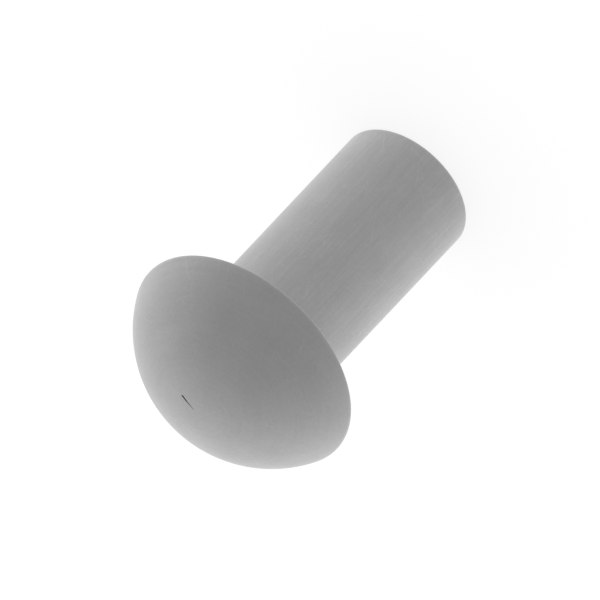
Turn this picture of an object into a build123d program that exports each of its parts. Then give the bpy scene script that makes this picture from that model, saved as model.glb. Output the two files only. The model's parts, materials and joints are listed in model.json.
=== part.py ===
from build123d import *
import math
import os

# Round head rivet, cold headed from drawn steel wire. It is one solid piece: a domed head and
# a plain shank, whose tail is hammered or pressed into a second head when the rivet is set.
# Sizes are in millimetres.
# The origin is the centre of the head's flat underside, which seats on the joined sheets and
# from which the shank's length is measured. +Z runs along the axis to the crown of the head,
# so the rivet stands on its flat tail.

# Driving dimensions
shank_diameter = 5.0
shank_length = 10.0  # from the head's underside to the tail
head_diameter = 8.8  # over the rounded rim
head_height = 3.0  # from the underside to the crown
rim_radius = 0.03  # round between the dome and the underside
neck_radius = 0.25  # fillet between the underside and the shank
tail_radius = 0.05  # round that cutting off and tumbling leave on the tail's edge

node_name = "rivet"
parts_folder = "parts"


def rivet_section():
    """Half of the rivet's section, drawn counter-clockwise from the centre of the tail."""
    shank_radius = shank_diameter / 2
    rim_x = head_diameter / 2 - rim_radius
    rim_height = head_height - rim_radius

    # The dome is part of a ball centred on the axis, tangent to the rim's round.
    dome_radius = (rim_x**2 + rim_height**2 - rim_radius**2) / (2 * (rim_height - rim_radius))
    dome_z = head_height - dome_radius
    rim_angle = math.degrees(math.atan2(rim_radius - dome_z, rim_x))

    tail_centre = (0, -shank_length)
    tail_round_centre = (shank_radius - tail_radius, tail_radius - shank_length)
    neck_centre = (shank_radius + neck_radius, -neck_radius)

    with BuildSketch(Plane.XZ) as section:
        with BuildLine():
            tail_round = CenterArc(tail_round_centre, tail_radius, -90, 90)
            Line(tail_centre, tail_round @ 0)
            neck = CenterArc(neck_centre, neck_radius, 180, -90)
            Line(tail_round @ 1, neck @ 0)
            rim = CenterArc((rim_x, rim_radius), rim_radius, -90, 90 + rim_angle)
            Line(neck @ 1, rim @ 0)
            dome = CenterArc((0, dome_z), dome_radius, rim_angle, 90 - rim_angle)
            Line(dome @ 1, tail_centre)
        make_face()
    return section.sketch


def rivet_solid():
    """The section turned once round the axis."""
    return revolve(rivet_section(), axis=Axis.Z)


os.makedirs(parts_folder, exist_ok=True)
export_step(rivet_solid(), os.path.join(parts_folder, f"{node_name}.step"))
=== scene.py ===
import json
import math

import bpy
import numpy as np
from mathutils import Matrix, Vector


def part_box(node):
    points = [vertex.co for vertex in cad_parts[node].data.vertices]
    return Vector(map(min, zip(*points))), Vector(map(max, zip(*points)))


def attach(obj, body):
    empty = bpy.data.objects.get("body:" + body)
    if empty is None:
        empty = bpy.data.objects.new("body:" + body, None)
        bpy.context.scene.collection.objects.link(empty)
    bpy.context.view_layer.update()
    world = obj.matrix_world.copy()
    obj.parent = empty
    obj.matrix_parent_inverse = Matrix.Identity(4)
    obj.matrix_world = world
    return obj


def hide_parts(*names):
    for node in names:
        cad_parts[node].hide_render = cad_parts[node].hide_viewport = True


# Round head rivet, cold headed from drawn steel wire and tumbled. It is one piece, a section
# turned round the axis, with a finish of its own for each surface that a tool or die made.

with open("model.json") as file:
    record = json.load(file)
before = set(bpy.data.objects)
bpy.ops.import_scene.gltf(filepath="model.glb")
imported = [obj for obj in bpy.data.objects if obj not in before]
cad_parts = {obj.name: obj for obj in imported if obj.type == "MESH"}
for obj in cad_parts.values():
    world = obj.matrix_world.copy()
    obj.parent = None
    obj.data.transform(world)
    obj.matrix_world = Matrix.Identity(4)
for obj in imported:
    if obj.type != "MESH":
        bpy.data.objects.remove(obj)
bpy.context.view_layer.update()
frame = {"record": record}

mm = 0.001  # sizes of the mesh and the stage are in metres

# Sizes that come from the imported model
rivet_node = "rivet"
rivet_low, rivet_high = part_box(rivet_node)
shank_mount = next(m for m in frame["record"]["mounts"] if m["name"] == "shank")
shank_radius = shank_mount["dims"]["r_mm"] * mm
shank_length = -rivet_low.z
head_radius = min(rivet_high.x, rivet_high.y)
head_height = rivet_high.z

# Small rounds of the section
rim_radius = 0.03 * mm
neck_radius = 0.25 * mm
tail_radius = 0.05 * mm

# How finely the turned surface is divided
turns_division = 360  # points round the axis
tail_rows = 96
shank_rows = 16
seat_rows = 10
dome_rows = 84
small_round_rows = 6

# A fine tool nick that runs from the crown towards the rim
nick_azimuth = math.radians(-6)
nick_half_angle = math.radians(3.6)
nick_length = 0.72 * mm
nick_end = 0.03 * mm  # how fast the nick runs out at its outer end
nick_slope = 0.8  # depth at the nick's line for each unit of its half width
# Painted shade: the nick's walls are painted dark, fully so past this share of their depth
nick_dark_share = 0.4  # share of its depth past which a wall is fully dark

# Ridges that the cut-off tool leaves across the tail, as waves with a pitch, a share and a phase
ridge_relief = 0.012 * mm
ridge_waves = [(0.22 * mm, 0.3, 0.0), (0.08 * mm, 0.2, 0.8)]
ridge_wander = [(5.6 * mm, 0.35, 0.0), (1.9 * mm, 0.2, 1.3)]  # shares of the first pitch
ridge_fade_start = 0.75  # share of the shank's radius where the ridges start to fade

# Colours of the steel, all a neutral grey but for the dark scale, whose colour also paints shade in the
# neck's corner and in the nick
skin_dark = 0.388
skin_light = 0.420
line_shade = 0.33
bare_shade = 0.50
scale_and_shade_colour = (0.055, 0.052, 0.05, 1)

# Finish. Lengths are in millimetres and heights in microns.
grain_size = 0.11
blotch_size = 1.3
grain_share = 0.6  # of the tone, and the rest is blotches
grain_height = 3.0
matt_roughness = 0.47
smooth_roughness = 0.43
scratch_length = 1.6
scratch_width = 0.045
scratch_turns = [math.radians(angle) for angle in (14, 61, 117, 158)]
scratch_tone = 0.3
scratch_depth = 1.5
scratch_layers = 7.0  # how far apart two directions take their noise, for each radian between them
edge_tone = 0.25  # how far a worn edge goes towards bare steel
edge_polish = 0.08  # how much less rough it is
scale_and_shade_tone = 0.25  # how far the scale and painted shade in a corner go towards their dark colour
scale_dullness = 0.08
wall_dullness = 0.25  # of the nick's walls
band_patch = 0.33  # size of the patches where a worn or scaled band is wider or narrower
band_widths = (0.75, 1.2)  # its narrowest and widest, as shares of its reach
micron = 0.001 * mm

# Noise gathers round one half. These spans of it are stretched to go from nothing to all.
grain_span = (0.34, 0.66)
line_span = (0.32, 0.68)
band_span = (0.3, 0.7)
scratch_span = (0.70, 0.77)  # only the highest peaks, so scratches are few

# How fast the noise changes along the lines, when it changes at a rate of 1 across them
die_ring_drift = 0.05
drawn_line_drift = 0.03
cut_line_drift = 0.06

# Circular edges and corners, as radius, height and reach: of the wear at an edge, and of the scale and
# painted shade in the neck's corner.
# The middle of the neck's fillet lies about a third of its own radius out and down.
rim_edge = (head_radius, rim_radius, 0.15 * mm)
tail_edge = (shank_radius, -shank_length, 0.15 * mm)
neck_corner = (shank_radius + neck_radius / 3, -neck_radius / 3, 0.3 * mm)

# Camera and stage
camera_elevation = math.radians(36.64)
camera_roll = math.radians(-136.7)
camera_width = 20.44 * mm
camera_right = 1.918 * mm  # from the origin to the middle of the view, to its right and up
camera_up = 2.038 * mm
camera_distance = 200 * mm
stage_front = Vector((0, -math.cos(camera_elevation), math.sin(camera_elevation)))
tent_front = 0.565  # brightness of the light tent at the stage's front
tent_back = 1.61  # what it would rise to some way past the back
tent_span = (0.99, -1.67)  # where those two lie, when straight to the front is 1 and to the back -1
floor_half = 3.0  # metres
floor_shade = 0.36
floor_glow = 0.76


# ---------------------------------------------------------------- the rivet's mesh


def arc(centre, radius, start, turn, rows):
    """Points of an arc in the half section, as (distance from the axis, height)."""
    angles = [start + turn * i / rows for i in range(rows + 1)]
    return [(centre[0] + radius * math.cos(a), centre[1] + radius * math.sin(a)) for a in angles]


def line(start, end, rows):
    """Evenly spaced points from start to end."""
    shares = [i / rows for i in range(rows + 1)]
    return [(start[0] + (end[0] - start[0]) * s, start[1] + (end[1] - start[1]) * s) for s in shares]


def rivet_stretches():
    """The half section from the tail's centre to the crown, as (finish, points) for each stretch."""
    rim_x = head_radius - rim_radius
    rim_height = head_height - rim_radius
    dome_radius = (rim_x**2 + rim_height**2 - rim_radius**2) / (2 * (rim_height - rim_radius))
    dome_z = head_height - dome_radius
    rim_angle = math.atan2(rim_radius - dome_z, rim_x)
    quarter = math.pi / 2

    tail_x = shank_radius - tail_radius
    tail_z = tail_radius - shank_length
    neck_x = shank_radius + neck_radius
    return [
        ("tail", line((0, -shank_length), (tail_x, -shank_length), tail_rows)),
        ("tail", arc((tail_x, tail_z), tail_radius, -quarter, quarter, small_round_rows)),
        ("shank", line((shank_radius, tail_z), (shank_radius, -neck_radius), shank_rows)),
        ("seat", arc((neck_x, -neck_radius), neck_radius, math.pi, -quarter, small_round_rows)),
        ("seat", line((neck_x, 0), (rim_x, 0), seat_rows)),
        ("head", arc((rim_x, rim_radius), rim_radius, -quarter, quarter + rim_angle, small_round_rows)),
        ("head", arc((0, dome_z), dome_radius, rim_angle, quarter - rim_angle, dome_rows)),
    ]


def joined_section(stretches):
    """The section's points with the shared ends once, and the finish of each row of faces."""
    points, finishes = [stretches[0][1][0]], []
    for finish, stretch in stretches:
        points += stretch[1:]
        finishes += [finish] * (len(stretch) - 1)
    return np.array(points), finishes


def section_normals(points):
    """Outward normals of the section, square to the run from each point's neighbour to the next."""
    ahead = np.vstack([points[1:], points[-1:]])
    behind = np.vstack([points[:1], points[:-1]])
    run = ahead - behind
    normals = np.stack([run[:, 1], -run[:, 0]], axis=1)
    return normals / np.linalg.norm(normals, axis=1, keepdims=True)


def smooth_step(low, high, x):
    """0 below low, 1 above high and a smooth rise between."""
    t = np.clip((x - low) / (high - low), 0, 1)
    return t * t * (3 - 2 * t)


def waves(along, parts):
    """A sum of sine waves, each given as (pitch, height, phase)."""
    return sum(height * np.sin(2 * math.pi * along / pitch + phase) for pitch, height, phase in parts)


def nick_share(x, y, z):
    """How far down the nick's walls a point is, from 0 at their edges to 1 at the nick's line."""
    off_line = np.abs(np.arctan2(y, x) - nick_azimuth)
    run_out = 1 - smooth_step(nick_length - nick_end, nick_length, np.hypot(x, y))
    return np.where(z > head_height / 2, np.clip(1 - off_line / nick_half_angle, 0, 1) * run_out, 0)


def nick_depth(x, y, z):
    """The nick is a groove that gets wider and deeper from the crown and ends steeply."""
    half_width = np.hypot(x, y) * math.tan(nick_half_angle)
    return half_width * nick_slope * nick_share(x, y, z)


def ridge_depth(x, y, z):
    """The ridges run across the tail, wander along their length and fade towards its edge."""
    main_pitch = ridge_waves[0][0]
    highest = sum(share for _, share, _ in ridge_waves)
    across = x + main_pitch * waves(y, ridge_wander)
    ridges = highest + waves(across, ridge_waves)
    fade = 1 - smooth_step(ridge_fade_start * shank_radius, shank_radius - tail_radius, np.hypot(x, y))
    return np.where(z < tail_radius / 2 - shank_length, ridge_relief * ridges * fade, 0)


def turned(distances, heights):
    """Points of the section, or its normals, carried round the axis."""
    azimuths = 2 * math.pi * np.arange(turns_division) / turns_division - math.pi
    x = np.outer(distances, np.cos(azimuths)).ravel()
    y = np.outer(distances, np.sin(azimuths)).ravel()
    return np.stack([x, y, np.repeat(heights, turns_division)], axis=1)


def turned_faces(ring_count):
    """Quads between the rings, and a fan at each end round the tail's centre and the crown."""
    columns = range(turns_division)
    last = ring_count - 1
    tail_centre = ring_count * turns_division
    crown = tail_centre + 1

    def at(ring, column):
        return ring * turns_division + column % turns_division

    faces = [(tail_centre, at(0, c + 1), at(0, c)) for c in columns]
    for ring in range(last):
        faces += [(at(ring, c), at(ring, c + 1), at(ring + 1, c + 1), at(ring + 1, c)) for c in columns]
    return faces + [(at(last, c), at(last, c + 1), crown) for c in columns]


def rivet_mesh():
    """The section turned round the axis, with the nick and the ridges cut into it."""
    section, row_finishes = joined_section(rivet_stretches())
    normals = section_normals(section)
    rings = turned(section[1:-1, 0], section[1:-1, 1])
    outward = turned(normals[1:-1, 0], normals[1:-1, 1])
    # painted shade for the nick's walls, darker the further down them a point lies
    nick_painted_shade = np.clip(nick_share(*rings.T) / nick_dark_share, 0, 1)
    depth = nick_depth(*rings.T) + ridge_depth(*rings.T)
    rings -= depth[:, None] * outward
    points = np.vstack([rings, (0, 0, -shank_length), (0, 0, head_height)])

    mesh = bpy.data.meshes.new("rivet_surface")
    faces = turned_faces(len(section) - 2)
    mesh.from_pydata(points.tolist(), [], faces)
    finishes = sorted(set(row_finishes))
    row_slots = [finishes.index(finish) for finish in row_finishes]
    mesh.polygons.foreach_set("material_index", np.repeat(row_slots, turns_division))
    mesh.polygons.foreach_set("use_smooth", np.ones(len(faces), dtype=bool))
    shade = mesh.attributes.new("nick_painted_shade", "FLOAT", "POINT")
    shade.data.foreach_set("value", np.append(nick_painted_shade, (0, 0)).astype(np.float32))
    mesh.update()
    return mesh, finishes


# ---------------------------------------------------------------- node helpers


def place(tree, kind, inputs=None, **settings):
    """A new node with its settings. Each input is a plain value or another node's output."""
    node = tree.nodes.new("ShaderNode" + kind)
    for name, value in settings.items():
        setattr(node, name, value)
    for key, value in (inputs or {}).items():
        if isinstance(value, bpy.types.NodeSocket):
            tree.links.new(value, node.inputs[key])
        else:
            node.inputs[key].default_value = value
    return node


def maths(tree, operation, *values):
    """One step of arithmetic on plain numbers and outputs."""
    return place(tree, "Math", dict(enumerate(values)), operation=operation).outputs[0]


def vector(tree, operation, *values):
    """One step of arithmetic on vectors."""
    return place(tree, "VectorMath", dict(enumerate(values)), operation=operation).outputs[0]


def length(tree, value):
    """The length of a vector."""
    return place(tree, "VectorMath", {0: value}, operation="LENGTH").outputs["Value"]


def spread(tree, value, from_range, to_range=(0.0, 1.0), **settings):
    """A value moved from one range to another, held at its ends."""
    ranges = dict(enumerate((*from_range, *to_range), start=1))
    return place(tree, "MapRange", {0: value, **ranges}, **settings).outputs[0]


def mixed_colour(tree, share, first, second):
    """One colour turning into another."""
    factor, colour_a, colour_b, result = 0, 6, 7, 2  # the sockets that a colour mix uses
    inputs = {factor: share, colour_a: first, colour_b: second}
    return place(tree, "Mix", inputs, data_type="RGBA").outputs[result]


def noise(tree, coordinate, size, detail, roughness):
    """Smooth random values round one half, with features of about the given size."""
    scale = maths(tree, "DIVIDE", 1.0, size)
    inputs = {"Vector": coordinate, "Scale": scale, "Detail": detail, "Roughness": roughness}
    return place(tree, "TexNoise", inputs).outputs[0]


def grey(level):
    """A neutral colour."""
    return (level, level, level, 1)


# ---------------------------------------------------------------- coordinates on the rivet


def seen_from_above(tree, position):
    """A flat coordinate for the head and the tail."""
    return vector(tree, "MULTIPLY", position, (1, 1, 0))


def axis_distance(tree, position):
    """How far a point is from the rivet's axis."""
    return length(tree, seen_from_above(tree, position))


def round_the_axis(tree, position):
    """For lines that circle the axis and wander a little."""
    ring = place(tree, "CombineXYZ", {0: axis_distance(tree, position)}).outputs[0]
    drift = vector(tree, "MULTIPLY", position, (die_ring_drift, die_ring_drift, 0))
    return vector(tree, "ADD", ring, drift)


def along_the_axis(tree, position):
    """For lines that run along the shank."""
    return vector(tree, "MULTIPLY", position, (1, 1, drawn_line_drift))


def across_the_tail(tree, position):
    """For the lines that the cut-off tool draws over the tail."""
    return vector(tree, "MULTIPLY", position, (1, cut_line_drift, 0))


def unrolled(tree, position):
    """A flat coordinate for the shank's wall: the way round it and the height."""
    parts = place(tree, "SeparateXYZ", {0: position}).outputs
    azimuth = maths(tree, "ARCTAN2", parts["Y"], parts["X"])
    way_round = maths(tree, "MULTIPLY", azimuth, shank_radius / mm)
    return place(tree, "CombineXYZ", {0: way_round, 1: parts["Z"]}).outputs[0]


# ---------------------------------------------------------------- effects that the finishes share


def new_group(name, inputs, outputs):
    """An empty shader node group. Its sockets are given as names with their kind."""
    tree = bpy.data.node_groups.new(name, "ShaderNodeTree")
    for direction, sockets in (("INPUT", inputs), ("OUTPUT", outputs)):
        for socket, kind in sockets.items():
            tree.interface.new_socket(socket, in_out=direction, socket_type="NodeSocket" + kind)
    return tree, tree.nodes.new("NodeGroupInput").outputs, tree.nodes.new("NodeGroupOutput").inputs


def tumbled_grain():
    """The matt skin that heading, annealing and tumbling leave: faint blotches with a fine grain."""
    tree, given, made = new_group(
        "tumbled_grain",
        {"Position": "Vector", "Grain Size": "Float", "Blotch Size": "Float"},
        {"Tone": "Float", "Height": "Float"},
    )
    grain = noise(tree, given["Position"], given["Grain Size"], detail=3.0, roughness=0.6)
    blotch = noise(tree, given["Position"], given["Blotch Size"], detail=2.0, roughness=0.5)
    blotch_part = maths(tree, "MULTIPLY", blotch, 1 - grain_share)
    both = maths(tree, "MULTIPLY_ADD", grain, grain_share, blotch_part)
    tree.links.new(spread(tree, both, grain_span), made["Tone"])
    tree.links.new(grain, made["Height"])
    return tree


def tool_lines():
    """Fine parallel lines of uneven depth. The coordinate comes in slowed down along the lines."""
    tree, given, made = new_group(
        "tool_lines",
        {"Coordinate": "Vector", "Pitch": "Float"},
        {"Lines": "Float"},
    )
    lines = noise(tree, given["Coordinate"], given["Pitch"], detail=4.0, roughness=0.65)
    tree.links.new(spread(tree, lines, line_span), made["Lines"])
    return tree


def fine_scratches():
    """Short hair scratches in a few directions, on a coordinate that lies flat on the surface."""
    tree, given, made = new_group(
        "fine_scratches",
        {"Coordinate": "Vector", "Length": "Float", "Width": "Float"},
        {"Mask": "Float"},
    )
    sizes = place(tree, "CombineXYZ", {0: given["Length"], 1: given["Width"], 2: 1.0}).outputs[0]
    mask = 0.0
    for turn in scratch_turns:
        inputs = {"Vector": given["Coordinate"], "Angle": turn}
        turned_flat = place(tree, "VectorRotate", inputs, rotation_type="Z_AXIS").outputs[0]
        squeezed = vector(tree, "DIVIDE", turned_flat, sizes)
        own_layer = vector(tree, "ADD", squeezed, (0, 0, scratch_layers * turn))
        peaks = noise(tree, own_layer, 1.0, detail=1.0, roughness=0.5)
        mask = maths(tree, "MAXIMUM", mask, spread(tree, peaks, scratch_span))
    tree.links.new(mask, made["Mask"])
    return tree


def ring_band():
    """A band round the axis beside a circular edge or corner, uneven in width."""
    tree, given, made = new_group(
        "ring_band",
        {"Position": "Vector", "Ring Radius": "Float", "Ring Height": "Float", "Reach": "Float"},
        {"Mask": "Float"},
    )
    height = place(tree, "SeparateXYZ", {0: given["Position"]}).outputs["Z"]
    out = maths(tree, "SUBTRACT", axis_distance(tree, given["Position"]), given["Ring Radius"])
    rise = maths(tree, "SUBTRACT", height, given["Ring Height"])
    away = length(tree, place(tree, "CombineXYZ", {0: out, 1: rise}).outputs[0])
    patches = noise(tree, given["Position"], band_patch, detail=2.0, roughness=0.5)
    uneven = spread(tree, patches, band_span, band_widths)
    share = maths(tree, "DIVIDE", away, maths(tree, "MULTIPLY", given["Reach"], uneven))
    mask = spread(tree, share, (1.0, 0.0), interpolation_type="SMOOTHSTEP")
    tree.links.new(mask, made["Mask"])
    return tree


effects = {make.__name__: make() for make in (tumbled_grain, tool_lines, fine_scratches, ring_band)}


# ---------------------------------------------------------------- finishes


class SatinSteel:
    """Tumbled steel in the making. Marks are added to it one by one, and finished() joins them."""

    def __init__(self, name):
        self.material = bpy.data.materials.new(name)
        self.material.use_nodes = True
        self.tree = self.material.node_tree
        self.tree.nodes.clear()
        metres = place(self.tree, "TexCoord").outputs["Object"]
        self.position = vector(self.tree, "DIVIDE", metres, (mm, mm, mm))
        sizes = {"Position": self.position, "Grain Size": grain_size, "Blotch Size": blotch_size}
        grain = self.effect("tumbled_grain", sizes)
        self.colour = mixed_colour(self.tree, grain["Tone"], grey(skin_dark), grey(skin_light))
        roughness_span = (matt_roughness, smooth_roughness)
        self.roughness = spread(self.tree, grain["Tone"], (0.0, 1.0), roughness_span)
        self.height = maths(self.tree, "MULTIPLY", grain["Height"], grain_height)

    def effect(self, name, inputs):
        """A shared effect with this material's own values."""
        return place(self.tree, "Group", inputs, node_tree=effects[name]).outputs

    def mark(self, mask, tone, colour, duller=0.0, higher=0.0):
        """Tints the surface under a mask, and changes its roughness and its height in microns."""
        share = maths(self.tree, "MULTIPLY", mask, tone)
        self.colour = mixed_colour(self.tree, share, self.colour, colour)
        if duller:
            self.roughness = maths(self.tree, "MULTIPLY_ADD", mask, duller, self.roughness)
        if higher:
            self.height = maths(self.tree, "MULTIPLY_ADD", mask, higher, self.height)

    def lines(self, coordinate, pitch, tone, height):
        """Lines that a die or a cutting tool drew over the surface."""
        inputs = {"Coordinate": coordinate(self.tree, self.position), "Pitch": pitch}
        self.mark(self.effect("tool_lines", inputs)["Lines"], tone, grey(line_shade), higher=height)

    def scratches(self, coordinate):
        """Hair scratches from lying among others."""
        flat = coordinate(self.tree, self.position)
        inputs = {"Coordinate": flat, "Length": scratch_length, "Width": scratch_width}
        mask = self.effect("fine_scratches", inputs)["Mask"]
        self.mark(mask, scratch_tone, grey(bare_shade), higher=-scratch_depth)

    def ring(self, place_and_reach):
        """The mask of a band beside a circular edge or corner."""
        radius, height, reach = (size / mm for size in place_and_reach)
        inputs = {"Position": self.position, "Ring Radius": radius, "Ring Height": height, "Reach": reach}
        return self.effect("ring_band", inputs)["Mask"]

    def worn(self, edge):
        """An edge that tumbling has polished."""
        self.mark(self.ring(edge), edge_tone, grey(bare_shade), duller=-edge_polish)

    def scale_and_painted_shade(self, corner):
        """A corner darkened by a little dark scale and by painted shade."""
        self.mark(self.ring(corner), scale_and_shade_tone, scale_and_shade_colour, duller=scale_dullness)

    def nick_walls_painted_dark(self):
        """The nick's walls, painted dark with the scale's colour as painted shade in the groove."""
        shade = place(self.tree, "Attribute", attribute_name="nick_painted_shade").outputs["Fac"]
        self.mark(shade, 1.0, scale_and_shade_colour, duller=wall_dullness)

    def finished(self):
        """The material, with its shader."""
        inputs = {"Height": self.height, "Strength": 1.0, "Distance": micron}
        relief = place(self.tree, "Bump", inputs).outputs[0]
        looks = {"Base Color": self.colour, "Roughness": self.roughness, "Normal": relief, "Metallic": 1.0}
        body = place(self.tree, "BsdfPrincipled", looks)
        place(self.tree, "OutputMaterial", {"Surface": body.outputs[0]})
        return self.material


def headed_steel():
    """The dome, with faint rings from the turned heading die."""
    steel = SatinSteel("headed_steel")
    steel.lines(round_the_axis, pitch=0.10, tone=0.25, height=1.2)
    steel.scratches(seen_from_above)
    steel.worn(rim_edge)
    # the nick's walls carry painted shade
    steel.nick_walls_painted_dark()
    return steel.finished()


def seat_steel():
    """The head's underside and the fillet at the neck, pressed against the flat of the die."""
    steel = SatinSteel("seat_steel")
    steel.lines(round_the_axis, pitch=0.10, tone=0.3, height=1.2)
    steel.scratches(seen_from_above)
    steel.worn(rim_edge)
    # painted shade, with a little dark scale, in the neck's fillet
    steel.scale_and_painted_shade(neck_corner)
    return steel.finished()


def drawn_steel():
    """The shank, with the lines that drawing the wire left along it."""
    steel = SatinSteel("drawn_steel")
    steel.lines(along_the_axis, pitch=0.07, tone=0.5, height=3.0)
    steel.scratches(unrolled)
    steel.worn(tail_edge)
    # painted shade, with a little dark scale, where the shank meets the head
    steel.scale_and_painted_shade(neck_corner)
    return steel.finished()


def sheared_steel():
    """The tail, where the wire was cut off."""
    steel = SatinSteel("sheared_steel")
    steel.lines(across_the_tail, pitch=0.08, tone=0.5, height=4.0)
    steel.scratches(seen_from_above)
    steel.worn(tail_edge)
    return steel.finished()


makers = {"head": headed_steel, "seat": seat_steel, "shank": drawn_steel, "tail": sheared_steel}


def make_rivet():
    """The rivet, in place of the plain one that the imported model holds."""
    mesh, finishes = rivet_mesh()
    for finish in finishes:
        mesh.materials.append(makers[finish]())
    rivet = bpy.data.objects.new("round_head_rivet", mesh)
    bpy.context.scene.collection.objects.link(rivet)
    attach(rivet, "root")
    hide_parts(rivet_node)


# ---------------------------------------------------------------- plain stage


def light_tent():
    """A soft tent of light round the rivet, dimmer towards the front of the stage."""
    world = bpy.data.worlds.new("light_tent")
    world.use_nodes = True
    world.cycles.sampling_method = "NONE"  # a smooth tent has no bright spots to look for
    tree = world.node_tree
    tree.nodes.clear()
    direction = place(tree, "TexCoord").outputs["Generated"]
    inputs = {0: direction, 1: stage_front}
    lean = place(tree, "VectorMath", inputs, operation="DOT_PRODUCT").outputs["Value"]
    level = spread(tree, lean, tent_span, (tent_front, tent_back), interpolation_type="SMOOTHSTEP")
    tent = place(tree, "Background", {"Color": grey(1), "Strength": level})
    backdrop = place(tree, "Background", {"Color": grey(1), "Strength": 1})
    seen = place(tree, "LightPath").outputs["Is Camera Ray"]
    shader = place(tree, "MixShader", {0: seen, 1: tent.outputs[0], 2: backdrop.outputs[0]})
    place(tree, "OutputWorld", {"Surface": shader.outputs[0]})
    bpy.context.scene.world = world


def white_floor():
    """A matt floor. What it lacks to white it shows to the camera alone, so it lights nothing."""
    material = bpy.data.materials.new("white_floor")
    material.use_nodes = True
    tree = material.node_tree
    tree.nodes.clear()
    matt = place(tree, "BsdfDiffuse", {"Color": grey(floor_shade)})
    seen = place(tree, "LightPath").outputs["Is Camera Ray"]
    glow = place(tree, "Emission", {"Color": grey(1), "Strength": maths(tree, "MULTIPLY", seen, floor_glow)})
    surface = place(tree, "AddShader", {0: matt.outputs[0], 1: glow.outputs[0]})
    place(tree, "OutputMaterial", {"Surface": surface.outputs[0]})
    return material


def lay_floor():
    """The floor that the rivet's tail stands on, which keeps its soft shadow."""
    near, far, z = -floor_half, floor_half, rivet_low.z
    corners = [(near, near, z), (far, near, z), (far, far, z), (near, far, z)]
    mesh = bpy.data.meshes.new("floor")
    mesh.from_pydata(corners, [], [(0, 1, 2, 3)])
    mesh.materials.append(white_floor())
    floor = bpy.data.objects.new("floor", mesh)
    bpy.context.scene.collection.objects.link(floor)
    floor.visible_glossy = False  # the steel mirrors the tent alone


def set_camera():
    """A camera without perspective that looks down on the crown, rolled about its line of sight."""
    level_right = Vector((1, 0, 0))
    level_up = stage_front.cross(level_right)
    right = level_right * math.cos(camera_roll) + level_up * math.sin(camera_roll)
    up = stage_front.cross(right)

    camera = bpy.data.cameras.new("camera")
    camera.type = "ORTHO"
    camera.ortho_scale = camera_width
    camera.clip_start = 1 * mm
    rig = bpy.data.objects.new("camera", camera)
    stand = Matrix((right, up, stage_front)).transposed().to_4x4()
    stand.translation = right * camera_right + up * camera_up + stage_front * camera_distance
    rig.matrix_world = stand
    bpy.context.scene.collection.objects.link(rig)
    bpy.context.scene.camera = rig


# ---------------------------------------------------------------- putting it together

make_rivet()
lay_floor()
light_tent()
set_camera()
bpy.context.scene.view_settings.view_transform = "Standard"
